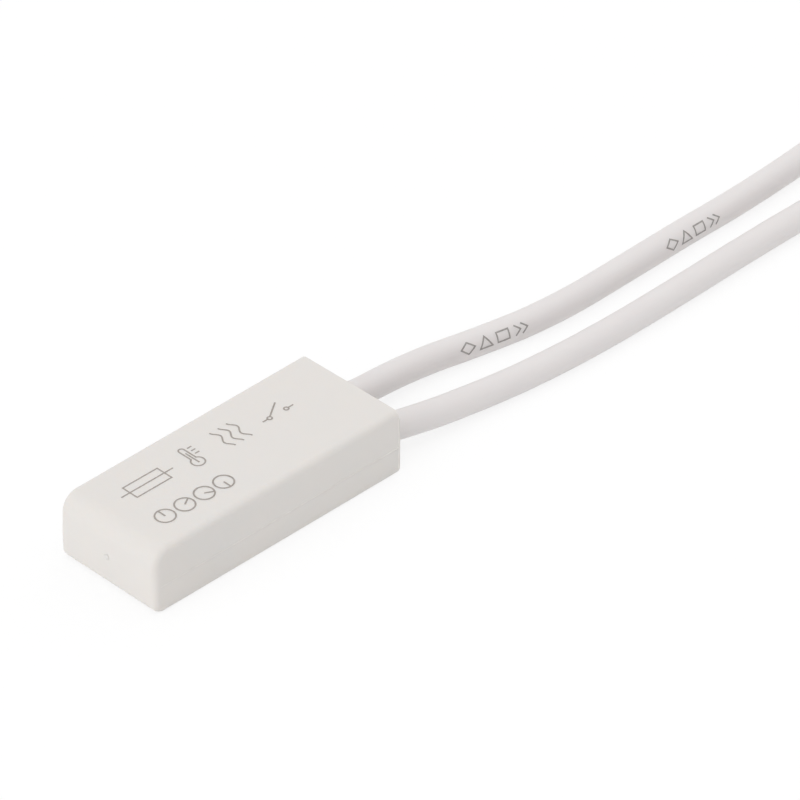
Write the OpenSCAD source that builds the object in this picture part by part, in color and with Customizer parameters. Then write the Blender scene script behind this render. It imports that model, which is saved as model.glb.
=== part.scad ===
// Thermal fuse: a bimetal contact set in a potted resin case with two insulated leads.
// Millimetres. The origin is the middle of the case's underside, the leads leave along +X.

/* [Case] */
// Length of the case along the leads
case_l = 17.4; // [15.5:0.1:24]
// Width of the case
case_w = 7.4; // [6.8:0.1:10]
// Height of the case
case_h = 4.0; // [3.7:0.1:6]
// Thickness of the long side walls
side_wall = 0.7; // [0.5:0.05:0.9]
// Thickness of the top and bottom walls
flat_wall = 0.65; // [0.5:0.05:0.8]
// Thickness of the closed end wall
end_wall = 0.8; // [0.6:0.05:1.5]
// Narrowing of the case towards its closed end, in degrees a side
taper_deg = 0.3; // [0:0.05:0.5]
// Radius of the long upper edges and the upright corners
edge_r = 0.4; // [0.2:0.05:0.6]
// Radius of the long lower edges
under_r = 0.3; // [0.15:0.05:0.4]
// Radius of the closed end's upper edge
nose_r = 1.1; // [0.7:0.1:1.4]
// Radius of the closed end's lower edge
toe_r = 0.6; // [0.45:0.05:0.9]
// Height of the parting line above the underside
parting_h = 1.76; // [1.2:0.02:2.4]
// Draft of the outer walls on each side of the parting line, in degrees
draft_deg = 1; // [0.25:0.25:2]
// How far the flash at the parting line stands proud
flash_proud = 0.04; // [0.02:0.01:0.08]
// Height of the flash at the parting line
flash_h = 0.08; // [0.04:0.01:0.12]
// Bevel round the inside of the mouth
mouth_bevel = 0.2; // [0.1:0.05:0.3]
// Diameter of the gate mark on the closed end
gate_d = 0.35; // [0.25:0.05:0.6]
// How far the gate mark stands proud
gate_proud = 0.05; // [0.02:0.01:0.1]

/* [End seal] */
// Depth of the potting along the case
seal_l = 3.3; // [2.6:0.1:4.5]
// How far the potting lies below the rim of the mouth
seal_recess = 0.25; // [0.2:0.05:0.5]
// How far the face of the potting dips in its middle
seal_dip = 0.12; // [0.05:0.01:0.2]

/* [Leads] */
// Diameter of the insulation
lead_d = 1.6; // [1.2:0.05:1.85]
// Diameter of the stranded conductor
core_d = 0.76; // [0.4:0.02:1]
// Distance between the two leads at the mouth
lead_pitch = 3.6; // [2.8:0.1:4]
// Length of insulation held in the potting
grip_l = 2.2; // [1.2:0.1:2.6]
// Length of conductor welded to its tab
weld_l = 2.2; // [1.5:0.1:3]
// Stripped and tinned length at the free ends
strip_end_l = 6; // [3:0.5:10]

/* [Contact set] */
// Thickness of the base's floor
base_floor = 0.35; // [0.25:0.05:0.5]
// Thickness of the lip at the base's front end
base_lip = 0.4; // [0.3:0.05:0.8]
// Length of the pedestal that carries the strip's root
pedestal_l = 2; // [1.6:0.1:3]
// Thickness of both terminals
plate_t = 0.25; // [0.15:0.05:0.3]
// Width of the welding tabs
tab_w = 1.5; // [1:0.1:1.6]
// Width of the fixed terminal's runner
runner_w = 1.5; // [1.2:0.1:1.8]
// Wall of the pedestal beside the runner's slot
slot_wall = 0.25; // [0.15:0.05:0.4]
// Diameter of the contacts
contact_d = 1.9; // [1.4:0.1:2.4]
// Height of one contact's head
contact_t = 0.35; // [0.25:0.05:0.4]
// Diameter of the contacts' rivet shanks
shank_d = 0.8; // [0.5:0.05:1]
// Thickness of the bimetal strip
strip_t = 0.15; // [0.1:0.01:0.2]
// Width of the bimetal strip
strip_w = 3.6; // [3.2:0.1:4.2]
// Diameter of the snap dish in the strip
dish_d = 2.6; // [1.8:0.1:3]
// Rise of the snap dish
dish_rise = 0.22; // [0.1:0.02:0.3]
// Diameter of the two stakes
stake_d = 0.7; // [0.5:0.05:0.9]
// Distance between the two stakes
stake_pitch = 2.2; // [1.8:0.1:2.4]

/* [Fits] */
// Room between the base and the case, and round the fixed terminal
fit_gap = 0.1; // [0.05:0.05:0.2]
// Room round a stake or a rivet shank
hole_gap = 0.04; // [0.02:0.01:0.08]
// Room between the stakes' heads and the case's ceiling
head_gap = 0.1; // [0.05:0.05:0.2]

/* [Hidden] */
$fn = 64;

// Case and cavity
front_x = -case_l / 2;
mouth_x = case_l / 2;
cavity_x = front_x + end_wall;
cavity_w = case_w - 2 * side_wall;
ceiling_z = case_h - flat_wall;
past_mouth_x = mouth_x + 2 * edge_r;
round_fn = 32;
sliver = 0.02;

// Potting
seal_x1 = mouth_x - seal_recess;
seal_x0 = seal_x1 - seal_l;

// Heights of the contact set, from the cavity's floor up
plate_z = flat_wall + base_floor;
tab_top_z = plate_z + plate_t;
touch_z = tab_top_z + contact_t;
strip_z = touch_z + contact_t;
strip_top_z = strip_z + strip_t;
head_t = 0.2;
clamp_top_z = ceiling_z - head_gap - head_t;

// Stations across the case
base_w = cavity_w - 2 * fit_gap;
runner_y = base_w / 2 - slot_wall - fit_gap;

// Stations along the case
base_x = cavity_x + fit_gap;
plate_x = base_x + base_lip + fit_gap;
tip_inset = 0.3;
strip_x = plate_x + tip_inset;
contact_x = strip_x + tip_inset + contact_d / 2;
tab_x1 = seal_x0 - fit_gap;
core_x = tab_x1 - weld_l;
crank_drop = strip_z - tab_top_z;
crank_bend = plate_t * tan(22.5);
pedestal_x1 = core_x - fit_gap - crank_drop - crank_bend;
pedestal_x0 = pedestal_x1 - pedestal_l;
stake_x = (pedestal_x0 + pedestal_x1) / 2;
dish_x = (contact_x + contact_d / 2 + pedestal_x0) / 2;

// Leads
lead_r = lead_d / 2;
lead_y = lead_pitch / 2;
lead_z = tab_top_z + core_d / 2;
sleeve_x = seal_x1 - grip_l;
lead_sides = 8;

// Routes of the leads past the mouth: distance from the mouth, sideways shift from the lead's own
// axis, and the share of its height at the mouth that is left.
route_left = [
    [0, 0, 1], [0.6, -0.04, 0.93], [2, -0.14, 0.68], [4, -0.08, 0.45], [6, -0.08, 0.22], [8, -0.3, 0.08],
    [10, -0.7, 0], [12, -1.12, 0], [14, -1.46, 0], [17, -1.7, 0], [20, -1.7, 0], [23, -1.65, 0],
    [26, -1.6, 0], [30, -1.6, 0], [34, -1.45, 0], [38, -1.15, 0], [42, -0.75, 0], [46, -0.3, 0],
    [50, 0.1, 0], [54, 0.4, 0], [58, 0.55, 0], [61, 0.6, 0], [64, 0.6, 0]
];
route_right = [
    [0, 0, 1], [0.6, -0.04, 0.95], [2, -0.22, 0.7], [4, -0.52, 0.44], [6, -0.74, 0.22], [8, -0.98, 0.08],
    [10, -1.2, 0], [12, -1.4, 0], [14, -1.54, 0], [17, -1.64, 0], [20, -1.64, 0], [23, -1.6, 0],
    [26, -1.54, 0], [30, -1.5, 0], [34, -1.55, 0], [38, -1.7, 0], [42, -1.95, 0], [46, -2.25, 0],
    [50, -2.5, 0], [54, -2.7, 0], [58, -2.8, 0], [61, -2.8, 0], [64, -2.8, 0]
];

// Points of a lead's axis, side 1 for left and -1 for right
function lead_path(route, side) = [
    for (stop = route)
        [mouth_x + stop[0], side * lead_y + stop[1], lead_r + (lead_z - lead_r) * stop[2]]
];

function unit(v) = v / norm(v);

// Direction of a path at one of its points; both ends run straight along +X
function path_dir(path, i) =
    i == 0 || i == len(path) - 1 ? [1, 0, 0] : unit(path[i + 1] - path[i - 1]);

// One ring of a tube, with a corner straight below the path
function tube_ring(path, i) =
    let (along = path_dir(path, i), across = unit(cross([0, 0, 1], along)), up = cross(along, across))
    [
        for (k = [0 : lead_sides - 1])
            let (turn = 360 * k / lead_sides)
            path[i] + lead_r * (cos(turn) * across + sin(turn) * up)
    ];

// Closed tube along a path
module tube(path) {
    last = len(path) - 1;
    points = [for (i = [0 : last]) each tube_ring(path, i)];
    walls = [
        for (i = [0 : last - 1], k = [0 : lead_sides - 1])
            let (a = i * lead_sides + k, b = i * lead_sides + (k + 1) % lead_sides)
            each [[a, a + lead_sides, b], [b, a + lead_sides, b + lead_sides]]
    ];
    start_cap = [for (k = [0 : lead_sides - 1]) k];
    end_cap = [for (k = [lead_sides - 1 : -1 : 0]) last * lead_sides + k];
    polyhedron(points, concat([start_cap], walls, [end_cap]));
}

// Cylinder along +X from x0 to x1
module rod_x(x0, x1, d) {
    translate([x0, 0, 0])
        rotate([0, 90, 0])
            cylinder(d = d, h = x1 - x0);
}

// Profile in X and Z, extruded across from y0 to y1
module across(y0, y1) {
    translate([0, y1, 0])
        rotate([90, 0, 0])
            linear_extrude(y1 - y0)
                children();
}

// The two places of what comes in pairs at +-y
module at_both_sides(y) {
    for (side = [-1, 1])
        translate([0, side * y, 0])
            children();
}

// Half the case's width at a station along it
function half_w(x) = case_w / 2 - (mouth_x - x) * tan(taper_deg);

// Outer form of the case before the mouth is cut: widest at the parting line, all edges rounded
module case_blank() {
    hull() {
        parting_corners(front_x + edge_r, edge_r, sliver, [-1, 1]);
        face_rounds(case_h, -1, edge_r, nose_r);
        face_rounds(0, 1, under_r, toe_r);
    }
    for (side = [-1, 1])
        hull()
            parting_corners(front_x + 2 * edge_r, edge_r + flash_proud, flash_h, [side]);
}

// Corners of a flat outline at the parting line, each with the given radius
module parting_corners(start_x, corner_r, slab_h, sides) {
    for (x = [start_x, past_mouth_x], side = sides)
        translate([x, side * (half_w(x) - edge_r), parting_h - slab_h / 2])
            cylinder(r = corner_r, h = slab_h, $fn = round_fn);
}

// Balls along the edges of the top or bottom face, with their own radius round the closed end
module face_rounds(face_z, inward, long_r, end_r) {
    inset = abs(face_z - parting_h) * tan(draft_deg);
    for (side = [-1, 1]) {
        for (turn = [0 : 10 : 90])
            round_ball(
                front_x + inset + end_r - (end_r - long_r) * cos(turn), side, inset,
                face_z + inward * (end_r - (end_r - long_r) * sin(turn)), long_r
            );
        round_ball(past_mouth_x, side, inset, face_z + inward * long_r, long_r);
    }
}

// Ball that touches one side wall from inside
module round_ball(x, side, inset, z, r) {
    translate([x, side * (half_w(x) - inset - r), z])
        sphere(r = r / cos(180 / round_fn), $fn = round_fn);
}

// Cavity of the case, grown at the mouth by its bevel
module case_cavity() {
    translate([cavity_x, -cavity_w / 2, flat_wall])
        cube([mouth_x - cavity_x + sliver, cavity_w, ceiling_z - flat_wall]);
    hull() {
        translate([mouth_x - mouth_bevel, -cavity_w / 2, flat_wall])
            cube([sliver, cavity_w, ceiling_z - flat_wall]);
        translate([mouth_x, -cavity_w / 2 - mouth_bevel, flat_wall - mouth_bevel])
            cube([sliver, cavity_w + 2 * mouth_bevel, ceiling_z - flat_wall + 2 * mouth_bevel]);
    }
}

module outer_case() {
    color("#eeebe6")
        difference() {
            union() {
                case_blank();
                translate([0, 0, parting_h + gate_d / 2])
                    rod_x(front_x - gate_proud, front_x + end_wall / 2, gate_d);
            }
            case_cavity();
            translate([mouth_x, -case_w, -case_h])
                cube([case_l, 2 * case_w, 3 * case_h]);
        }
}

module end_seal() {
    half_w = cavity_w / 2;
    dip_r = (half_w * half_w + seal_dip * seal_dip) / (2 * seal_dip);
    color("#e3ddd0")
        difference() {
            translate([seal_x0, -half_w, flat_wall])
                cube([seal_l, cavity_w, ceiling_z - flat_wall]);
            translate([seal_x1 - seal_dip + dip_r, 0, case_h / 2])
                sphere(r = dip_r, $fn = 128);
            at_both_sides(lead_y)
                translate([0, 0, lead_z]) {
                    rod_x(sleeve_x, seal_x1 + sliver, lead_d);
                    rod_x(seal_x0 - sliver, sleeve_x + sliver, core_d);
                }
        }
}

// Plan of the fixed terminal: the contact pad, the runner along the base's side and the welding tab
module fixed_plan(grow = 0) {
    pad_edge = contact_d / 2 + tip_inset;
    plan_rect(plate_x, contact_x + pad_edge, -runner_y, pad_edge, grow);
    plan_rect(plate_x, tab_x1, -runner_y, runner_w - runner_y, grow);
    plan_rect(core_x, tab_x1, -lead_y - tab_w / 2, tab_w / 2 - lead_y, grow);
}

// Rectangle from x0, y0 to x1, y1, grown all round
module plan_rect(x0, x1, y0, y1, grow) {
    translate([x0 - grow, y0 - grow])
        square([x1 - x0 + 2 * grow, y1 - y0 + 2 * grow]);
}

module base_block() {
    seat_z = strip_z - plate_t;
    color("#3a3633") {
        difference() {
            union() {
                translate([base_x, -base_w / 2, flat_wall])
                    cube([seal_x0 - base_x, base_w, base_floor]);
                translate([base_x, -base_w / 2, flat_wall])
                    cube([base_lip, base_w, tab_top_z - flat_wall]);
                translate([pedestal_x0, -base_w / 2, flat_wall])
                    cube([pedestal_l, base_w, seat_z - flat_wall]);
            }
            translate([0, 0, plate_z])
                linear_extrude(plate_t + fit_gap)
                    fixed_plan(fit_gap);
        }
        translate([stake_x, 0, 0])
            at_both_sides(stake_pitch / 2) {
                translate([0, 0, seat_z - sliver])
                    cylinder(d = stake_d, h = clamp_top_z - seat_z + 2 * sliver);
                translate([0, 0, clamp_top_z])
                    cylinder(d1 = stake_d + 2 * head_t, d2 = stake_d, h = head_t);
            }
    }
}

// Holes that let the two stakes through
module stake_holes() {
    translate([stake_x, 0, 0])
        at_both_sides(stake_pitch / 2)
            cylinder(d = stake_d + 2 * hole_gap, h = case_h);
}

module clamp_block() {
    bevel = (clamp_top_z - strip_top_z) / 3;
    color("#4a443f")
        difference() {
            translate([pedestal_x0, 0, strip_top_z])
                rotate([90, 0, 90])
                    linear_extrude(pedestal_l)
                        polygon([
                            [-base_w / 2, 0], [base_w / 2, 0],
                            [base_w / 2, clamp_top_z - strip_top_z - bevel],
                            [base_w / 2 - bevel, clamp_top_z - strip_top_z],
                            [bevel - base_w / 2, clamp_top_z - strip_top_z],
                            [-base_w / 2, clamp_top_z - strip_top_z - bevel]
                        ]);
            stake_holes();
        }
}

module fixed_terminal() {
    color("#c9a552")
        translate([0, 0, plate_z])
            linear_extrude(plate_t)
                difference() {
                    fixed_plan();
                    translate([contact_x, 0])
                        circle(d = shank_d + 2 * hole_gap);
                }
}

// Contact rivet: head upward from z = 0, shank down through a sheet, and a clinched end below it
module contact_rivet(sheet_t, clinch) {
    head_edge = 0.1;
    head = [
        [0, contact_t], [contact_d / 2 - head_edge, contact_t], [contact_d / 2, contact_t - head_edge],
        [contact_d / 2, 0], [shank_d / 2, 0], [shank_d / 2, -sheet_t]
    ];
    foot = clinch == 0 ? [[0, -sheet_t]] : [
        [shank_d / 2 + clinch, -sheet_t], [shank_d / 2, -sheet_t - clinch], [0, -sheet_t - clinch]
    ];
    rotate_extrude()
        polygon(concat(head, foot));
}

module fixed_contact() {
    color("#d8d8d6")
        translate([contact_x, 0, tab_top_z])
            contact_rivet(plate_t, 0);
}

module moving_contact() {
    clinch = 0.15;
    color("#d8d8d6")
        translate([contact_x, 0, strip_z])
            mirror([0, 0, 1])
                contact_rivet(strip_t, clinch);
}

module moving_terminal() {
    plate_low_z = strip_z - plate_t;
    color("#c9a552")
        difference() {
            union() {
                across(-strip_w / 2, lead_y + tab_w / 2)
                    translate([pedestal_x0, plate_low_z])
                        square([pedestal_l, plate_t]);
                across(lead_y - tab_w / 2, lead_y + tab_w / 2)
                    polygon([
                        [stake_x, plate_low_z], [pedestal_x1, plate_low_z],
                        [pedestal_x1 + crank_drop, plate_z], [tab_x1, plate_z],
                        [tab_x1, tab_top_z], [pedestal_x1 + crank_drop + crank_bend, tab_top_z],
                        [pedestal_x1 + crank_bend, strip_z], [stake_x, strip_z]
                    ]);
            }
            stake_holes();
        }
}

// Spherical snap dish of the strip, bulging upward from the strip's own level
module snap_dish() {
    bowl_r = (dish_d * dish_d / 4 + dish_rise * dish_rise) / (2 * dish_rise);
    intersection() {
        translate([0, 0, dish_rise - bowl_r])
            difference() {
                sphere(r = bowl_r + strip_t);
                sphere(r = bowl_r);
            }
        cylinder(d = dish_d + sliver, h = dish_rise + 2 * strip_t);
    }
}

module bimetal_strip() {
    color("#b9b3a6") {
        difference() {
            translate([strip_x, -strip_w / 2, strip_z])
                cube([pedestal_x1 - strip_x, strip_w, strip_t]);
            translate([dish_x, 0, strip_z - sliver])
                cylinder(d = dish_d, h = strip_t + 2 * sliver);
            translate([contact_x, 0, strip_z - sliver])
                cylinder(d = shank_d + 2 * hole_gap, h = strip_t + 2 * sliver);
            stake_holes();
        }
        translate([dish_x, 0, strip_z])
            snap_dish();
    }
}

// Bare conductor from its weld to the end of the insulation
module lead_core(side) {
    color("#b87348")
        translate([0, side * lead_y, lead_z])
            rod_x(core_x, sleeve_x, core_d);
}

// Insulated lead: straight in the potting, then along its route
module lead(side, route) {
    color("#e9e4e4") {
        translate([0, side * lead_y, lead_z])
            rod_x(sleeve_x, mouth_x, lead_d);
        tube(lead_path(route, side));
    }
}

// Stripped and tinned end, in line with the end of its lead
module lead_tip(side, route) {
    path = lead_path(route, side);
    end = path[len(path) - 1];
    color("#c4c6c8")
        translate([0, end[1], end[2]])
            rod_x(end[0], end[0] + strip_end_l, core_d);
}

outer_case();
end_seal();
base_block();
clamp_block();
fixed_terminal();
fixed_contact();
moving_terminal();
bimetal_strip();
moving_contact();
lead_core(1);  // lead_core_left
lead_core(-1);  // lead_core_right
lead(1, route_left);  // lead_left
lead(-1, route_right);  // lead_right
lead_tip(1, route_left);  // lead_tip_left
lead_tip(-1, route_right);  // lead_tip_right
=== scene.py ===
# Looks of a thermal fuse: white moulded case, potted mouth, two insulated leads with tinned ends.
import math

import bmesh
import bpy
from mathutils import Matrix, Vector, noise


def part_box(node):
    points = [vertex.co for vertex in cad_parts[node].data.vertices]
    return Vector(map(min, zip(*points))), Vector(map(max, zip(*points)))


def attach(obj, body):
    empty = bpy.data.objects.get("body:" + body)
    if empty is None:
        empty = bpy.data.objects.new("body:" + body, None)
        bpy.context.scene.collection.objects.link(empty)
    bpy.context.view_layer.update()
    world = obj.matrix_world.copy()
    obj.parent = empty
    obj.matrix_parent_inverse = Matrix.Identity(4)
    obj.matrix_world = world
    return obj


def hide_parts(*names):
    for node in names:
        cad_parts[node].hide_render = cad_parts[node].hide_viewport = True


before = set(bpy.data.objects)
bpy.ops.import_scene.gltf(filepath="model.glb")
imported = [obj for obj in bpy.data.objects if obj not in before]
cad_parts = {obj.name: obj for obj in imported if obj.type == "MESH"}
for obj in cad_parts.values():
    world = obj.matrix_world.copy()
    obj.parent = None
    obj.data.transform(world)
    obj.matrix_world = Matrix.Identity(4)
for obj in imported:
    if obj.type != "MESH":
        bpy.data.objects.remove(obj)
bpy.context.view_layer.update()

MM = 0.001
QUARTER = math.radians(90)

# Boxes of the solids that the frame gives
case_low, case_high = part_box("outer_case")
seal_low, seal_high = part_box("end_seal")
core_low, core_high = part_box("lead_core_left")
tip_low, tip_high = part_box("lead_tip_left")

# Moulded case
FLASH_PROUD = 0.04 * MM
FLASH_HEIGHT = 0.08 * MM
FLASH_ROOT = 0.01 * MM
RIM_PROUD = 0.025 * MM
RIM_WIDTH = 0.15 * MM
GATE_PROUD = 0.05 * MM
GATE_RADIUS = 0.175 * MM
PARTING_Z = 1.76 * MM
DRAFT = math.tan(math.radians(1))
TAPER = math.tan(math.radians(0.3))
EDGE_RADIUS = 0.4 * MM
UNDER_RADIUS = 0.3 * MM
NOSE_RADIUS = 1.1 * MM
TOE_RADIUS = 0.6 * MM
RIM_BEVEL = 0.05 * MM
MOUTH_BEVEL = 0.2 * MM
END_WALL = 0.8 * MM
FRONT_X = case_low.x + GATE_PROUD
MOUTH_X = case_high.x
BACK_X = MOUTH_X - RIM_BEVEL
HALF_W = case_high.y - FLASH_PROUD
CASE_H = case_high.z
CAVITY_HALF_W = seal_high.y
CAVITY_Z = (seal_low.z, seal_high.z)

# Leads
LEAD_RADIUS = 0.8 * MM
LEAD_Y = (core_low.y + core_high.y) / 2
LEAD_Z = (core_low.z + core_high.z) / 2
SLEEVE_X = core_high.x
TIP_RADIUS = (tip_high.y - tip_low.y) / 2
TIP_LENGTH = tip_high.x - tip_low.x

# Routes past the mouth, in millimetres: distance from the mouth, sideways shift from the lead's own axis,
# and the share of its height at the mouth that is left
ROUTE_LEFT = (
    (0, 0, 1), (0.6, -0.04, 0.93), (2, -0.14, 0.68), (4, -0.08, 0.45), (6, -0.08, 0.22), (8, -0.3, 0.08),
    (10, -0.7, 0), (12, -1.12, 0), (14, -1.46, 0), (17, -1.7, 0), (20, -1.7, 0), (23, -1.65, 0),
    (26, -1.6, 0), (30, -1.6, 0), (34, -1.45, 0), (38, -1.15, 0), (42, -0.75, 0), (46, -0.3, 0),
    (50, 0.1, 0), (54, 0.4, 0), (58, 0.55, 0), (61, 0.6, 0), (64, 0.6, 0),
)
ROUTE_RIGHT = (
    (0, 0, 1), (0.6, -0.04, 0.95), (2, -0.22, 0.7), (4, -0.52, 0.44), (6, -0.74, 0.22), (8, -0.98, 0.08),
    (10, -1.2, 0), (12, -1.4, 0), (14, -1.54, 0), (17, -1.64, 0), (20, -1.64, 0), (23, -1.6, 0),
    (26, -1.54, 0), (30, -1.5, 0), (34, -1.55, 0), (38, -1.7, 0), (42, -1.95, 0), (46, -2.25, 0),
    (50, -2.5, 0), (54, -2.7, 0), (58, -2.8, 0), (61, -2.8, 0), (64, -2.8, 0),
)

# Camera of the photograph: direction, distance, scale and the pixel of the case's underside centre
IMAGE_PX = 800
SENSOR_MM = 36
VIEW_AZIMUTH = math.radians(-44.93)
VIEW_ELEVATION = math.radians(36.12)
VIEW_DISTANCE = 282.7 * MM
PX_PER_M = 19233
ORIGIN_PX = (231.5, 514.0)

# Light: the surroundings are brightest in a band over the part from end to end and dimmer towards both
# sides, which lights the top to about 1. The low lamp's level is what it gives a white surface facing it
BAND_LEVEL = 1.22
SIDE_DIM = 1.10
KEY_LEVEL = 0.10
KEY_DIRECTION = (-0.94, 0, 0.34)
KEY_DISTANCE = 0.5
KEY_SIZE = 0.3

# Floor: its colour for the light that it throws back, and what the camera sees, part shaded and part
# glowing, so that it reads white and keeps a faint shadow
FLOOR_COLOR = 0.95
FLOOR_SHADE = 0.2
FLOOR_GLOW = 0.81


def make_camera():
    """Camera at the photograph's viewing angle, level across the image."""
    a, e = VIEW_AZIMUTH, VIEW_ELEVATION
    back = Vector((math.sin(a) * math.cos(e), -math.cos(a) * math.cos(e), math.sin(e)))
    right = Vector((math.cos(a), math.sin(a), 0))
    up = back.cross(right)
    across_px = ORIGIN_PX[0] - IMAGE_PX / 2
    above_px = IMAGE_PX / 2 - ORIGIN_PX[1]
    place = back * VIEW_DISTANCE - right * across_px / PX_PER_M - up * above_px / PX_PER_M
    data = bpy.data.cameras.new("camera")
    data.sensor_width = SENSOR_MM
    data.lens = PX_PER_M * VIEW_DISTANCE * SENSOR_MM / IMAGE_PX
    data.clip_start = 1 * MM
    camera = bpy.data.objects.new("camera", data)
    camera.matrix_world = Matrix.Translation(place) @ Matrix((right, up, back)).transposed().to_4x4()
    bpy.context.scene.collection.objects.link(camera)
    bpy.context.scene.camera = camera


# Mesh helpers

def between(start, end, steps):
    """Evenly spaced values or places from start to end."""
    return [start + (end - start) * (k / steps) for k in range(steps + 1)]


def round_turns(sides):
    """Angles of the corners of a ring."""
    return between(0, 2 * math.pi, sides)[:-1]


def join_rings(bm, first, second, closed=True):
    """Quads between two rows of vertices of the same count."""
    count = len(first)
    for i in range(count if closed else count - 1):
        k = (i + 1) % count
        bm.faces.new((first[i], first[k], second[k], second[i]))


def close_tube(bm, rings):
    """Skin through rings of vertices, with a face over each end."""
    for near, far in zip(rings, rings[1:]):
        join_rings(bm, near, far)
    bm.faces.new(rings[0])
    bm.faces.new(rings[-1])


def add_grid(bm, rows):
    """Quads over a grid of places."""
    made = [[bm.verts.new(place) for place in row] for row in rows]
    for near, far in zip(made, made[1:]):
        join_rings(bm, near, far, closed=False)


def new_piece(name, bm, material):
    """Turns a bmesh into a smooth-shaded piece that rides on the part."""
    bmesh.ops.recalc_face_normals(bm, faces=bm.faces)
    mesh = bpy.data.meshes.new(name)
    bm.to_mesh(mesh)
    bm.free()
    mesh.shade_smooth()
    piece = bpy.data.objects.new(name, mesh)
    bpy.context.scene.collection.objects.link(piece)
    mesh.materials.append(material)
    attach(piece, "root")
    return piece


def flat_faces_stay_flat(piece):
    """Weights the normals by face area, so broad flats shade flat beside small rounds."""
    weighted = piece.modifiers.new("weighted_normals", "WEIGHTED_NORMAL")
    weighted.weight = 100
    weighted.keep_sharp = True


# Materials

class Shader:
    """Node material with one Principled shader and small helpers for procedural detail."""

    def __init__(self, name, color, roughness, metallic=0.0):
        self.material = bpy.data.materials.new(name)
        self.material.use_nodes = True
        self.tree = self.material.node_tree
        self.shader = self.tree.nodes["Principled BSDF"]
        self.color = color
        self.shader.inputs["Base Color"].default_value = (*color, 1)
        self.shader.inputs["Roughness"].default_value = roughness
        self.shader.inputs["Metallic"].default_value = metallic

    def node(self, kind, **values):
        node = self.tree.nodes.new(kind)
        for name, value in values.items():
            if name in node.inputs:
                node.inputs[name].default_value = value
            else:
                setattr(node, name, value)
        return node

    def link(self, source, target):
        self.tree.links.new(source, target)

    def scatter(self, weight, radius_mm):
        """Light that enters a pale plastic and leaves it again nearby."""
        self.shader.inputs["Subsurface Weight"].default_value = weight
        self.shader.inputs["Subsurface Radius"].default_value = [value * MM for value in radius_mm]
        self.shader.inputs["Subsurface Scale"].default_value = 1.0

    def coordinates(self, scale, attribute=None):
        """Position on the part in millimetres, stretched by scale, or a mesh attribute in its place."""
        mapping = self.node("ShaderNodeMapping", Scale=scale)
        if attribute:
            source = self.node("ShaderNodeAttribute", attribute_name=attribute).outputs["Vector"]
        else:
            source = self.node("ShaderNodeTexCoord").outputs["Object"]
            mapping.inputs["Scale"].default_value = [value / MM for value in scale]
        self.link(source, mapping.inputs["Vector"])
        return mapping.outputs["Vector"]

    def noise(self, coordinates, detail=3.0, roughness=0.5):
        node = self.node("ShaderNodeTexNoise", Scale=1.0, Detail=detail, Roughness=roughness)
        self.link(coordinates, node.inputs["Vector"])
        return node.outputs["Fac"]

    def spread(self, fac, low, high, reach=0.2):
        """Maps a noise value round its middle to the range from low to high."""
        node = self.node("ShaderNodeMapRange")
        node.inputs["From Min"].default_value = 0.5 - reach
        node.inputs["From Max"].default_value = 0.5 + reach
        node.inputs["To Min"].default_value = low
        node.inputs["To Max"].default_value = high
        self.link(fac, node.inputs["Value"])
        return node.outputs["Result"]

    def vary_color(self, fac, other, reach=0.2):
        """Blends the base colour with another by a noise value."""
        blend = self.node("ShaderNodeValToRGB")
        low, high = blend.color_ramp.elements
        low.position, low.color = 0.5 - reach, (*self.color, 1)
        high.position, high.color = 0.5 + reach, (*other, 1)
        self.link(fac, blend.inputs["Fac"])
        self.link(blend.outputs["Color"], self.shader.inputs["Base Color"])

    def vary_roughness(self, fac, low, high):
        self.link(self.spread(fac, low, high), self.shader.inputs["Roughness"])

    def bump(self, height, depth, below=None):
        """Bump of the given depth in metres, on top of another bump where one is given."""
        node = self.node("ShaderNodeBump", Strength=1.0, Distance=depth)
        self.link(height, node.inputs["Height"])
        if below:
            self.link(below, node.inputs["Normal"])
        self.link(node.outputs["Normal"], self.shader.inputs["Normal"])
        return node.outputs["Normal"]


def case_resin():
    """White moulded resin with a fine spark-eroded mould finish and faint flow mottling."""
    s = Shader("case_resin", (0.795, 0.760, 0.726), 0.45)
    s.scatter(0.12, (0.4, 0.3, 0.22))
    s.vary_color(s.noise(s.coordinates((0.35, 0.5, 0.5))), (0.78, 0.755, 0.728))
    grain = s.noise(s.coordinates((22, 22, 22)), detail=2.0)
    s.vary_roughness(grain, 0.40, 0.52)
    sink = s.bump(s.noise(s.coordinates((1.3, 1.3, 1.3)), detail=1.0), 0.006 * MM)
    s.bump(grain, 0.003 * MM, below=sink)
    return s.material


def flash_resin_painted_highlight():
    """Thin flash, coloured paler than the wall: a painted highlight along the ridge."""
    s = Shader("flash_resin_painted_highlight", (0.95, 0.92, 0.88), 0.5)
    s.vary_color(s.noise(s.coordinates((1.5, 1, 1))), (0.84, 0.80, 0.76))
    return s.material


def potting_resin():
    """Cast epoxy: warmer and glossier than the case, with a few pin bubbles."""
    s = Shader("potting_resin", (0.70, 0.655, 0.565), 0.28)
    s.scatter(0.15, (0.6, 0.45, 0.3))
    s.vary_color(s.noise(s.coordinates((1.2, 1.2, 1.2))), (0.74, 0.70, 0.62))
    bubbles = s.node("ShaderNodeTexVoronoi", Scale=1.0, Randomness=1.0)
    s.link(s.coordinates((2.2, 2.2, 2.2)), bubbles.inputs["Vector"])
    pits = s.node("ShaderNodeMapRange", clamp=True)
    pits.inputs["From Min"].default_value = 0.06
    pits.inputs["From Max"].default_value = 0.14
    s.link(bubbles.outputs["Distance"], pits.inputs["Value"])
    s.bump(pits.outputs["Result"], 0.03 * MM)
    return s.material


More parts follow.
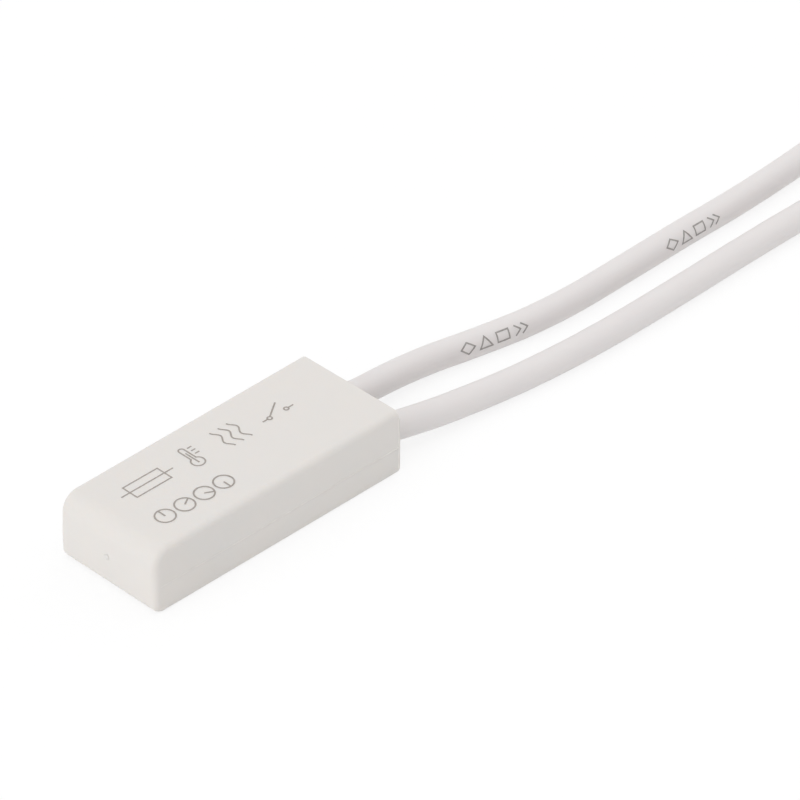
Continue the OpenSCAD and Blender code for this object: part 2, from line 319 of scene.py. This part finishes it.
def lead_insulation():
    """Extruded white insulation: satin, with faint draw lines along the lead."""
    s = Shader("lead_insulation", (0.80, 0.765, 0.76), 0.42)
    s.scatter(0.15, (0.35, 0.28, 0.25))
    s.vary_color(s.noise(s.coordinates((0.6, 0.6, 0.25), "lead_coord")), (0.815, 0.782, 0.773))
    s.vary_roughness(s.noise(s.coordinates((5, 5, 0.8), "lead_coord")), 0.36, 0.5)
    s.bump(s.noise(s.coordinates((9, 9, 0.12), "lead_coord"), detail=2.0), 0.008 * MM)
    return s.material


def stranded_metal(name, color, other, roughness):
    """Metal strands with slightly uneven tone and tarnish."""
    s = Shader(name, color, roughness, metallic=1.0)
    s.vary_color(s.noise(s.coordinates((2, 6, 6))), other)
    s.vary_roughness(s.noise(s.coordinates((6, 12, 12))), roughness - 0.08, roughness + 0.12)
    s.bump(s.noise(s.coordinates((14, 40, 40)), detail=1.0), 0.004 * MM)
    return s.material


def rolled_metal(name, color, other, roughness):
    """Rolled sheet metal with fine lines along its length."""
    s = Shader(name, color, roughness, metallic=1.0)
    lines = s.noise(s.coordinates((0.8, 30, 30)), detail=2.0)
    s.vary_color(s.noise(s.coordinates((0.7, 1.2, 1.2))), other)
    s.vary_roughness(lines, roughness - 0.06, roughness + 0.1)
    s.bump(lines, 0.002 * MM)
    return s.material


def inner_moulding():
    """Dark filled moulding of the base and clamp."""
    s = Shader("inner_moulding", (0.045, 0.04, 0.036), 0.5)
    s.vary_color(s.noise(s.coordinates((3, 3, 3))), (0.06, 0.053, 0.046))
    s.bump(s.noise(s.coordinates((18, 18, 18))), 0.004 * MM)
    return s.material


def marking(name, color, other):
    """Thin grey marking, unevenly dark as a laser or an ink roller leaves it."""
    s = Shader(name, color, 0.6)
    s.vary_color(s.noise(s.coordinates((5, 5, 5))), other)
    return s.material


def seen_level(tree, seen, unseen):
    """One value for rays from the camera, metal or glass, and another for the light on the part."""
    path = tree.nodes.new("ShaderNodeLightPath")
    either = path.outputs["Is Camera Ray"]
    for kind in ("Is Glossy Ray", "Is Transmission Ray"):
        larger = tree.nodes.new("ShaderNodeMath")
        larger.operation = "MAXIMUM"
        tree.links.new(either, larger.inputs[0])
        tree.links.new(path.outputs[kind], larger.inputs[1])
        either = larger.outputs["Value"]
    level = tree.nodes.new("ShaderNodeMapRange")
    level.inputs["To Min"].default_value = unseen
    level.inputs["To Max"].default_value = seen
    tree.links.new(either, level.inputs["Value"])
    return level.outputs["Result"]


def pale_floor():
    """White floor that reads as an even background with a faint shadow."""
    s = Shader("floor", (FLOOR_COLOR, FLOOR_COLOR, FLOOR_COLOR), 0.9)
    s.shader.inputs["Specular IOR Level"].default_value = 0.0
    s.shader.inputs["Emission Color"].default_value = (1, 1, 1, 1)
    s.link(seen_level(s.tree, FLOOR_SHADE, FLOOR_COLOR), s.shader.inputs["Base Color"])
    s.link(seen_level(s.tree, FLOOR_GLOW, 0.0), s.shader.inputs["Emission Strength"])
    return s.material


# Case

ROUND_STEPS = 9
NOSE_STEPS = 14
LENGTH_STEPS = 24
ACROSS_STEPS = 12
WALL_STEPS = 4
WELD = 1e-7
TURNS = between(0, QUARTER, ROUND_STEPS)
LIFTS = between(0, QUARTER, NOSE_STEPS)

# Flash and gate: how ragged they are, with the flash's waves as count per millimetre and share of each
FLASH_STEPS = 200
FLASH_WAVES = ((0.7, 1.0), (4, 0.6))
FLASH_RAGGED = 0.9
FLASH_LEAST = 0.1
FLASH_AT_END = 0.35
FLASH_AT_MOUTH = 0.8
RIM_STEPS = 40
RIM_WAVES_PER_MM = 3
RIM_RAGGED = 0.4
RIM_CREST = RIM_WIDTH / 6
GATE_SIDES = 16
GATE_SUNK = 0.1 * MM
GATE_UNEVEN = 0.2
GATE_WAVES = 1.5


def half_width(x):
    """Half the case's width at the parting line, a little less towards the closed end."""
    return HALF_W - (MOUTH_X - x) * TAPER


class Face:
    """Top or underside of the case, with the rounds along its long edges and over the closed end."""

    def __init__(self, z, up, long_radius, end_radius):
        self.z, self.up = z, up
        self.long_radius, self.end_radius = long_radius, end_radius
        self.inset = abs(z - PARTING_Z) * DRAFT
        self.flat_x = FRONT_X + self.inset + end_radius

    def on_ball(self, side, x, z, out):
        """Place on a ball that touches one side wall from inside."""
        y = side * (half_width(x) - self.inset - self.long_radius)
        return Vector((x, y, z)) + self.long_radius * Vector(out)

    def corner(self, side, lift, turn):
        """Place on the closed end's round: lift goes from the end to the face, turn from end to side."""
        reach = self.end_radius - self.long_radius
        x = self.flat_x - reach * math.cos(lift)
        z = self.z - self.up * (self.end_radius - reach * math.sin(lift))
        ahead = math.cos(turn)
        out = (-ahead * math.cos(lift), side * math.sin(turn), self.up * ahead * math.sin(lift))
        return self.on_ball(side, x, z, out)

    def edge(self, side, x, turn):
        """Place on a long edge's round: turn goes from the face to the side."""
        out = (0, side * math.sin(turn), self.up * math.cos(turn))
        return self.on_ball(side, x, self.z - self.up * self.long_radius, out)


TOP = Face(CASE_H, 1, EDGE_RADIUS, NOSE_RADIUS)
UNDERSIDE = Face(0, -1, UNDER_RADIUS, TOE_RADIUS)


def parting_corner(side, turn):
    """Place on an upright corner at the parting line."""
    x = FRONT_X + EDGE_RADIUS
    y = half_width(x) - EDGE_RADIUS
    return Vector((x - EDGE_RADIUS * math.cos(turn), side * (y + EDGE_RADIUS * math.sin(turn)), PARTING_Z))


def add_walls(bm, feet, heads):
    """Wall from a row of places at the parting line to a row at the rounds."""
    add_grid(bm, [between(foot, head, WALL_STEPS) for foot, head in zip(feet, heads)])


def parting_foot(side, x):
    """Place on a side at the parting line."""
    return Vector((x, side * half_width(x), PARTING_Z))


def wall_heads(face, side):
    """Row of places along one side, from the closed end to the mouth, where the rounds begin."""
    lengths = between(face.flat_x, BACK_X, LENGTH_STEPS)
    heads = [face.corner(side, lift, QUARTER) for lift in LIFTS]
    return heads + [face.edge(side, x, QUARTER) for x in lengths[1:]]


def add_half_case(bm, face):
    """Outer skin from the parting line to the top or the underside."""
    lengths = between(face.flat_x, BACK_X, LENGTH_STEPS)
    for side in (-1, 1):
        add_grid(bm, [[face.corner(side, lift, turn) for turn in TURNS] for lift in LIFTS])
        add_grid(bm, [[face.edge(side, x, turn) for turn in TURNS] for x in lengths])
        corner_feet = [parting_corner(side, turn) for turn in TURNS]
        add_walls(bm, corner_feet, [face.corner(side, 0, turn) for turn in TURNS])
        feet = [parting_foot(side, head.x) for head in wall_heads(TOP, side)[1:]]
        add_walls(bm, corner_feet[-1:] + feet, wall_heads(face, side))
    ends = [between(face.corner(-1, lift, 0), face.corner(1, lift, 0), ACROSS_STEPS) for lift in LIFTS]
    add_grid(bm, ends)
    add_walls(bm, between(parting_corner(-1, 0), parting_corner(1, 0), ACROSS_STEPS), ends[0])
    add_grid(bm, [between(face.edge(-1, x, 0), face.edge(1, x, 0), ACROSS_STEPS) for x in lengths])


def back_outline():
    """Outline of the outer skin at the mouth: up the right side, over the top, down and back below."""
    outline = []
    for face, start in ((TOP, -1), (UNDERSIDE, 1)):
        first, last = [
            between(parting_foot(side, BACK_X), face.edge(side, BACK_X, QUARTER), WALL_STEPS)
            for side in (start, -start)
        ]
        outline += first[:-1] + [face.edge(start, BACK_X, turn) for turn in reversed(TURNS)]
        outline += between(face.edge(start, BACK_X, 0), face.edge(-start, BACK_X, 0), ACROSS_STEPS)[1:-1]
        outline += [face.edge(-start, BACK_X, turn) for turn in TURNS] + last[-2:0:-1]
    return outline


def add_mouth(bm):
    """Rim, bevel and cavity inside the outer skin's last outline."""
    middle_z = CASE_H / 2
    outline = back_outline()

    def shrunk(x, by):
        return [
            Vector((x, p.y * (1 - by / HALF_W), middle_z + (p.z - middle_z) * (1 - by / middle_z)))
            for p in outline
        ]

    def clamped(x, grow):
        half, low, high = CAVITY_HALF_W + grow, CAVITY_Z[0] - grow, CAVITY_Z[1] + grow
        return [Vector((x, min(max(p.y, -half), half), min(max(p.z, low), high))) for p in outline]

    rows = [outline, shrunk(MOUTH_X, RIM_BEVEL), clamped(MOUTH_X, MOUTH_BEVEL),
            clamped(MOUTH_X - MOUTH_BEVEL, 0), clamped(FRONT_X + END_WALL, 0)]
    rings = [[bm.verts.new(place) for place in row] for row in rows]
    for first, second in zip(rings, rings[1:]):
        join_rings(bm, first, second)


def add_ridge(bm, rows):
    """Closed ridge through rows of three places: foot, crest and foot, with crisp edges along the feet."""
    rings = [[bm.verts.new(place) for place in row] for row in rows]
    close_tube(bm, rings)
    for near, far in zip(rings, rings[1:]):
        for k in (0, 2):
            bm.edges.get((near[k], far[k])).smooth = False


def add_flash(bm, side):
    """Thin ragged ridge along one side at the parting line, as a worn mould leaves it."""
    over, crest, below = FLASH_HEIGHT / 2, -FLASH_HEIGHT / 4, -FLASH_HEIGHT / 2
    rows = []
    for x in between(FRONT_X + EDGE_RADIUS, BACK_X, FLASH_STEPS):
        wave = sum(
            share * noise.noise(Vector((x / MM * per_mm, side, k)))
            for k, (per_mm, share) in enumerate(FLASH_WAVES)
        )
        run = (x - FRONT_X) / (MOUTH_X - FRONT_X)
        mean = FLASH_AT_END + (FLASH_AT_MOUTH - FLASH_AT_END) * run
        proud = FLASH_PROUD * min(1, max(FLASH_LEAST, mean + FLASH_RAGGED * wave))
        wall = half_width(x)
        rows.append([
            (x, side * (wall + out), PARTING_Z + rise)
            for out, rise in ((-FLASH_ROOT, over), (proud, crest), (-FLASH_ROOT, below))
        ])
    add_ridge(bm, rows)


def add_rim_flash(bm, side):
    """Finer ridge up one side of the mouth's rim."""
    rows = []
    for z in between(UNDER_RADIUS, CASE_H - EDGE_RADIUS, RIM_STEPS):
        wall = half_width(MOUTH_X) - abs(z - PARTING_Z) * DRAFT
        wave = noise.noise(Vector((0, side, z / MM * RIM_WAVES_PER_MM)))
        proud = RIM_PROUD * (1 + RIM_RAGGED * wave)
        rows.append([
            (MOUTH_X - back, side * (wall + out), z)
            for back, out in ((RIM_WIDTH, -FLASH_ROOT), (RIM_CREST, proud), (0, -RIM_BEVEL))
        ])
    add_ridge(bm, rows)


def add_gate(bm):
    """Broken-off gate: a low uneven button on the closed end, just above the parting line."""
    centre = Vector((FRONT_X, 0, PARTING_Z + GATE_RADIUS))
    levels = ((1.0, -GATE_SUNK), (1.0, 0.3 * GATE_PROUD), (0.8, 0.75 * GATE_PROUD), (0.35, GATE_PROUD))
    rings = []
    for share, proud in levels:
        ring = []
        for turn in round_turns(GATE_SIDES):
            wave = noise.noise(Vector((math.cos(turn), math.sin(turn), share)) * GATE_WAVES)
            out = GATE_RADIUS * share * (1 + GATE_UNEVEN * wave)
            ring.append(bm.verts.new(centre + Vector((-proud, out * math.cos(turn), out * math.sin(turn)))))
        rings.append(ring)
    close_tube(bm, rings)


def make_case(material):
    """Moulded cap: drafted and rounded skin, bevelled mouth, cavity and broken gate."""
    bm = bmesh.new()
    add_half_case(bm, TOP)
    add_half_case(bm, UNDERSIDE)
    add_mouth(bm)
    bmesh.ops.remove_doubles(bm, verts=bm.verts, dist=WELD)
    bmesh.ops.holes_fill(bm, edges=[edge for edge in bm.edges if edge.is_boundary])
    for edge in bm.edges:
        at_parting = all(abs(vert.co.z - PARTING_Z) < WELD for vert in edge.verts)
        at_rim = all(abs(vert.co.x - BACK_X) < WELD for vert in edge.verts)
        edge.smooth = not (at_parting or at_rim)
    add_gate(bm)
    case = new_piece("moulded_case", bm, material)
    flat_faces_stay_flat(case)
    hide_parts("outer_case")


def make_flash(material):
    """Flash along both sides and up the sides of the mouth."""
    bm = bmesh.new()
    for side in (-1, 1):
        add_flash(bm, side)
        add_rim_flash(bm, side)
    new_piece("parting_flash", bm, material)


# Potting

SEAL_STEPS_Y = 96
SEAL_STEPS_Z = 44
SEAL_DIP = 0.12 * MM
SEAL_WAVE = 0.015 * MM
SEAL_WAVES_PER_MM = 1.4
WET_REACH = 0.14 * MM
WALL_WET = 0.1 * MM
LEAD_WET = 0.12 * MM


def seal_face_x(y, z):
    """Face of the potting: dished, drawn up at the walls and round the leads."""
    to_wall = min(CAVITY_HALF_W - abs(y), z - CAVITY_Z[0], CAVITY_Z[1] - z)
    to_lead = max(0, math.hypot(abs(y) - LEAD_Y, z - LEAD_Z) - LEAD_RADIUS)
    dip = SEAL_DIP * (1 - (y / CAVITY_HALF_W) ** 2)
    wet = WALL_WET * math.exp(-to_wall / WET_REACH) + LEAD_WET * math.exp(-to_lead / WET_REACH)
    wave = SEAL_WAVE * noise.noise(Vector((y, z, 0)) * SEAL_WAVES_PER_MM / MM)
    return seal_high.x - dip + wet + wave


def make_seal(material):
    """Potting plug with its wetted face towards the mouth."""
    bm = bmesh.new()
    grid = []
    for y in between(-CAVITY_HALF_W, CAVITY_HALF_W, SEAL_STEPS_Y):
        row = [(seal_face_x(y, z), y, z) for z in between(*CAVITY_Z, SEAL_STEPS_Z)]
        grid.append([bm.verts.new(place) for place in row])
    for near, far in zip(grid, grid[1:]):
        join_rings(bm, near, far, closed=False)
    edge = [row[0] for row in grid] + grid[-1][1:]
    edge += [row[-1] for row in reversed(grid[:-1])] + grid[0][-2:0:-1]
    inner = [bm.verts.new((seal_low.x, v.co.y, v.co.z)) for v in edge]
    join_rings(bm, edge, inner)
    bm.faces.new(inner)
    seal = new_piece("potting", bm, material)
    flat_faces_stay_flat(seal)
    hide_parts("end_seal")


# Leads

LEAD_SIDES = 36
SPAN_STEPS = 8
BORE_RADIUS = 0.42 * MM
CUT_EDGE = 0.05 * MM
BORE_DEPTH = 0.5 * MM
SWELL = 0.004
SWELLS_PER_MM = 0.35
NAME_SPREAD = 0.37


def lead_stops(route, side):
    """Route of a lead in metres, from the inner end of its insulation to the free end."""
    y = side * LEAD_Y
    stops = [Vector((SLEEVE_X, y, LEAD_Z)), Vector(((SLEEVE_X + MOUTH_X) / 2, y, LEAD_Z))]
    for ahead, shift, share in route:
        height = LEAD_RADIUS + (LEAD_Z - LEAD_RADIUS) * share
        stops.append(Vector((MOUTH_X + ahead * MM, y + shift * MM, height)))
    return stops


def smooth_path(stops):
    """Even curve through all stops that never sinks below the surface."""
    ends = [2 * stops[0] - stops[1], *stops, 2 * stops[-1] - stops[-2]]
    path = []
    for before, start, end, after in zip(ends, ends[1:], ends[2:], ends[3:]):
        span = (end - start).length
        pull_in = (end - before).normalized() * span
        pull_out = (after - start).normalized() * span
        for t in between(0, 1, SPAN_STEPS)[:-1]:
            point = (
                start * (2 * t ** 3 - 3 * t ** 2 + 1) + pull_in * (t ** 3 - 2 * t ** 2 + t)
                + end * (3 * t ** 2 - 2 * t ** 3) + pull_out * (t ** 3 - t ** 2)
            )
            point.z = max(point.z, LEAD_RADIUS)
            path.append(point)
    return path + [stops[-1]]


def path_length(path):
    """Length of a path through all its points."""
    return sum((b - a).length for a, b in zip(path, path[1:]))


def path_frame(path, i):
    """Directions along, across and above a path at one of its points."""
    along = (path[min(i + 1, len(path) - 1)] - path[max(i - 1, 0)]).normalized()
    across = Vector((0, 0, 1)).cross(along).normalized()
    return along, across, along.cross(across)


def path_runs(path):
    """Distance along a path to each of its points."""
    return [path_length(path[:i + 1]) for i in range(len(path))]


def lead_sections(path, seed):
    """Place, directions, radius and distance along of each ring, to the cut end and back into its bore."""
    runs = path_runs(path)
    sections = []
    for i, place in enumerate(path[:-1]):
        swell = 1 + SWELL * noise.noise(Vector((runs[i] / MM * SWELLS_PER_MM, seed, 0)))
        sections.append((place, path_frame(path, i), LEAD_RADIUS * swell, runs[i]))
    directions = path_frame(path, len(path) - 1)
    cut = ((CUT_EDGE, LEAD_RADIUS), (0.3 * CUT_EDGE, LEAD_RADIUS - 0.3 * CUT_EDGE),
           (0, LEAD_RADIUS - CUT_EDGE), (0, BORE_RADIUS), (BORE_DEPTH, BORE_RADIUS))
    for back, radius in cut:
        sections.append((path[-1] - directions[0] * back, directions, radius, runs[-1] - back))
    return sections


def lead_ring(bm, coordinate, place, directions, radius, run):
    """Ring of vertices that know their place on the lead."""
    _, across, above = directions
    ring = []
    for turn in round_turns(LEAD_SIDES):
        x, y = radius * math.cos(turn), radius * math.sin(turn)
        vert = bm.verts.new(place + x * across + y * above)
        vert[coordinate] = (x / MM, y / MM, run / MM)
        ring.append(vert)
    return ring


def make_lead(name, node, path, material):
    """Insulation as a tube along its path, with a cut end that the conductor leaves."""
    bm = bmesh.new()
    coordinate = bm.verts.layers.float_vector.new("lead_coord")
    seed = sum(ord(letter) for letter in name) * NAME_SPREAD
    close_tube(bm, [lead_ring(bm, coordinate, *section) for section in lead_sections(path, seed)])
    lead = new_piece(name, bm, material)
    flat_faces_stay_flat(lead)
    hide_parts(node)
    return lead


STRANDS = 6
STRAND_SIDES = 12
STRAND_STEPS = 48
STRAND_END = 0.7
TWIST_TURNS = 1.2
TIP_DEPTH = 0.9 * BORE_DEPTH


def strand_ring(bm, centre, radius):
    """Ring of vertices across one strand."""
    outs = [Vector((0, math.cos(turn), math.sin(turn))) for turn in round_turns(STRAND_SIDES)]
    return [bm.verts.new(centre + radius * out) for out in outs]


def make_tip(name, node, start, material):
    """Tinned end: six strands twisted round a seventh."""
    bm = bmesh.new()
    strand_radius = TIP_RADIUS / 3
    for strand in range(STRANDS + 1):
        orbit = 0 if strand == STRANDS else TIP_RADIUS - strand_radius
        rings = []
        for share in between(0, 1, STRAND_STEPS):
            x = -TIP_DEPTH + (TIP_LENGTH + TIP_DEPTH) * share
            turn = 2 * math.pi * (strand / STRANDS + TWIST_TURNS * share)
            centre = start + Vector((x, orbit * math.cos(turn), orbit * math.sin(turn)))
            rings.append(strand_ring(bm, centre, strand_radius))
        rings.append(strand_ring(bm, centre, STRAND_END * strand_radius))
        close_tube(bm, rings)
    tip = new_piece(name, bm, material)
    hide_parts(node)
    return tip


# Markings: generic signs in place of lettering, drawn in millimetres on the surface

MARK_WIDTH = 0.09
SAME_POINT = 1e-6
UPPER_ROW = 1.1
LOWER_ROW = -1.6
PRINT_STARTS = (11.6, 26.6)
PRINT_SIDE = math.radians(152)
MARK_LIFT = 0.004 * MM
STROKE_STEP = 0.0005 * MM


def arc(x, y, radius, start=0, end=360, steps=28):
    """Points of an arc in millimetres, angles in degrees."""
    turns = [math.radians(angle) for angle in between(start, end, steps)]
    return [(x + radius * math.cos(t), y + radius * math.sin(t)) for t in turns]


def fuse_sign(x, y):
    """Box with a line through it."""
    box = [(x - 1.2, y - 0.55), (x + 1.2, y - 0.55), (x + 1.2, y + 0.55), (x - 1.2, y + 0.55)]
    return [box + box[:1], [(x - 1.8, y), (x + 1.8, y)]]


def thermometer_sign(x, y):
    """Thermometer with three ticks."""
    glass = arc(x, y - 0.5, 0.38, 116, 424) + arc(x, y + 0.75, 0.17, 0, 180, 12)
    ticks = [[(x + 0.35, y + rise), (x + 0.65, y + rise)] for rise in (0.1, 0.4, 0.7)]
    return [glass + glass[:1], [(x, y - 0.6), (x, y + 0.45)]] + ticks


def heat_sign(x, y):
    """Three rising waves."""
    rises = between(-0.85, 0.85, 24)
    return [[(x + k + 0.14 * math.sin(rise * 5.5), y + rise) for rise in rises] for k in (-0.6, 0, 0.6)]


def contact_sign(x, y):
    """Open switch between two studs."""
    studs = [arc(x - 0.6, y - 0.4, 0.13), arc(x + 0.6, y - 0.4, 0.13)]
    tails = [[(x - 1.1, y - 0.4), (x - 0.73, y - 0.4)], [(x + 0.73, y - 0.4), (x + 1.1, y - 0.4)]]
    return studs + tails + [[(x - 0.5, y - 0.31), (x + 0.55, y + 0.4)]]


def dial_signs(x, y, count):
    """Row of small dials, each with its hand a step further round."""
    lines = []
    for k in range(count):
        turn = math.radians(90 - 60 * k)
        centre = x + 1.36 * k
        hand = (centre + 0.55 * math.cos(turn), y + 0.55 * math.sin(turn))
        lines += [arc(centre, y, 0.55), [(centre, y), hand]]
    return lines


def lead_signs(x):
    """Row of a diamond, a triangle, a box and a pair of arrow heads."""
    diamond = [(x, 0), (x + 0.45, 0.33), (x + 0.9, 0), (x + 0.45, -0.33), (x, 0)]
    triangle = [(x + 1.2, -0.3), (x + 1.6, 0.33), (x + 2.0, -0.3), (x + 1.2, -0.3)]
    box = [(x + 2.35, -0.28), (x + 3.1, -0.28), (x + 3.1, 0.28), (x + 2.35, 0.28), (x + 2.35, -0.28)]
    heads = [[(x + k, 0.3), (x + k + 0.35, 0), (x + k, -0.3)] for k in (3.5, 3.95)]
    return [split_finely(line) for line in [diamond, triangle, box] + heads]


def split_finely(line, steps=6):
    """The same line with each stretch split, so that it can follow a round surface."""
    places = [Vector(point) for point in line]
    fine = [place for a, b in zip(places, places[1:]) for place in between(a, b, steps)[:-1]]
    return fine + places[-1:]


def add_stroke(bm, line, place):
    """Ribbon along a drawn line, closed where it ends at its start; place puts a point onto the part."""
    points = [Vector(point) for point in line]
    closed = (points[0] - points[-1]).length < SAME_POINT
    before = points[-2] if closed else 2 * points[0] - points[1]
    after = points[1] if closed else 2 * points[-1] - points[-2]
    rows = []
    for last, point, coming in zip([before] + points, points, points[1:] + [after]):
        onward = (coming - point).normalized()
        along = ((point - last).normalized() + onward).normalized()
        aside = Vector((-along.y, along.x)) * MARK_WIDTH / 2 / along.dot(onward)
        rows.append([place(*(point + aside)), place(*(point - aside))])
    add_grid(bm, rows)


def make_case_marking(material):
    """Line drawings on the case's top, in two rows like the lettering of such parts."""
    bm = bmesh.new()
    lines = fuse_sign(-4.8, UPPER_ROW) + thermometer_sign(-1.7, UPPER_ROW) + heat_sign(1.1, UPPER_ROW)
    lines += contact_sign(4.1, UPPER_ROW) + dial_signs(-6.05, LOWER_ROW, 4)
    for k, line in enumerate(lines):
        z = CASE_H + MARK_LIFT + k * STROKE_STEP
        add_stroke(bm, line, lambda x, y: (x * MM, y * MM, z))
    new_piece("case_marking", bm, material)


def make_lead_marking(name, path, material):
    """Rows of printed signs on a lead's near side, each row from its own distance along."""
    bm = bmesh.new()
    runs = path_runs(path)

    def place(along_mm, around_mm):
        i = max(k for k, run in enumerate(runs[:-1]) if run <= along_mm * MM)
        share = (along_mm * MM - runs[i]) / (runs[i + 1] - runs[i])
        _, across, above = path_frame(path, i)
        turn = PRINT_SIDE - around_mm * MM / LEAD_RADIUS
        out = math.cos(turn) * across + math.sin(turn) * above
        return path[i].lerp(path[i + 1], share) + out * (LEAD_RADIUS * (1 + SWELL) + MARK_LIFT)

    for start in PRINT_STARTS:
        for line in lead_signs(start):
            add_stroke(bm, line, place)
    return new_piece(name, bm, material)


# Stage and light

FLOOR_HALF = 3.0
FLOOR_DROP = 0.01 * MM


def make_stage():
    """Plain pale floor under the part."""
    bm = bmesh.new()
    add_grid(bm, [[(x, y, 0) for x in (-FLOOR_HALF, FLOOR_HALF)] for y in (-FLOOR_HALF, FLOOR_HALF)])
    mesh = bpy.data.meshes.new("floor")
    bm.to_mesh(mesh)
    bm.free()
    floor = bpy.data.objects.new("floor", mesh)
    floor.location.z = -FLOOR_DROP
    mesh.materials.append(pale_floor())
    bpy.context.scene.collection.objects.link(floor)


def make_key_lamp():
    """Square soft lamp that looks at the closed end from low down."""
    direction = Vector(KEY_DIRECTION).normalized()
    data = bpy.data.lights.new("key", "AREA")
    data.size = KEY_SIZE
    data.energy = KEY_LEVEL * math.pi ** 2 * KEY_DISTANCE ** 2
    lamp = bpy.data.objects.new("key", data)
    lamp.location = direction * KEY_DISTANCE
    lamp.rotation_euler = direction.to_track_quat("Z", "Y").to_euler()
    bpy.context.scene.collection.objects.link(lamp)


def band_level(tree):
    """Light from each direction: less by the square of its share towards either side."""
    direction = tree.nodes.new("ShaderNodeTexCoord").outputs["Generated"]
    square = tree.nodes.new("ShaderNodeVectorMath")
    square.operation = "MULTIPLY"
    tree.links.new(direction, square.inputs[0])
    tree.links.new(direction, square.inputs[1])
    dimmed = tree.nodes.new("ShaderNodeVectorMath")
    dimmed.operation = "DOT_PRODUCT"
    dimmed.inputs[1].default_value = (0, -SIDE_DIM, 0)
    tree.links.new(square.outputs["Vector"], dimmed.inputs[0])
    level = tree.nodes.new("ShaderNodeMath")
    level.operation = "ADD"
    level.inputs[1].default_value = BAND_LEVEL
    tree.links.new(dimmed.outputs["Value"], level.inputs[0])
    return level.outputs["Value"]


def make_world():
    """Pale surroundings that the camera, metal and glass see as plain white."""
    world = bpy.data.worlds.new("surroundings")
    world.use_nodes = True
    tree = world.node_tree
    background = tree.nodes["Background"]
    background.inputs["Color"].default_value = (1, 1, 1, 1)
    strength = seen_level(tree, 1.0, BAND_LEVEL)
    tree.links.new(band_level(tree), strength.node.inputs["To Min"])
    tree.links.new(strength, background.inputs["Strength"])
    bpy.context.scene.world = world


def make_leads():
    """Both insulated leads with their tinned ends."""
    insulation = lead_insulation()
    ink = marking("lead_ink", (0.30, 0.28, 0.27), (0.42, 0.40, 0.38))
    tin = stranded_metal("tinned_strands", (0.70, 0.70, 0.71), (0.60, 0.60, 0.60), 0.34)
    for side, hand, route in ((1, "left", ROUTE_LEFT), (-1, "right", ROUTE_RIGHT)):
        path = smooth_path(lead_stops(route, side))
        lead = make_lead(f"insulated_lead_{hand}", f"lead_{hand}", path, insulation)
        followers = [make_tip(f"tinned_end_{hand}", f"lead_tip_{hand}", path[-1], tin)]
        if hand == "left":
            followers.append(make_lead_marking("lead_marking", path, ink))
        path_length(path)


def dress_inner_pieces():
    """Materials of the sealed pieces, which keep the shape of their solids."""
    silver = rolled_metal("contact_silver", (0.86, 0.85, 0.82), (0.78, 0.77, 0.74), 0.25)
    brass = rolled_metal("terminal_brass", (0.72, 0.55, 0.26), (0.66, 0.50, 0.24), 0.32)
    bimetal = rolled_metal("bimetal", (0.52, 0.50, 0.47), (0.46, 0.44, 0.42), 0.36)
    copper = stranded_metal("copper_strands", (0.78, 0.42, 0.28), (0.68, 0.36, 0.24), 0.34)
    moulding = inner_moulding()
    materials = {
        "base_block": moulding, "clamp_block": moulding,
        "fixed_terminal": brass, "moving_terminal": brass,
        "fixed_contact": silver, "moving_contact": silver,
        "bimetal_strip": bimetal,
        "lead_core_left": copper, "lead_core_right": copper,
    }
    for name, material in materials.items():
        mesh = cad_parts[name].data
        mesh.materials.clear()
        mesh.materials.append(material)


make_camera()
make_leads()
make_case(case_resin())
# The parting and rim ridges carry a paler colour as a painted highlight.
make_flash(flash_resin_painted_highlight())
make_seal(potting_resin())
make_case_marking(marking("case_mark", (0.33, 0.295, 0.265), (0.43, 0.39, 0.36)))
dress_inner_pieces()
make_stage()
make_world()
make_key_lamp()

bpy.context.scene.view_settings.view_transform = "Standard"
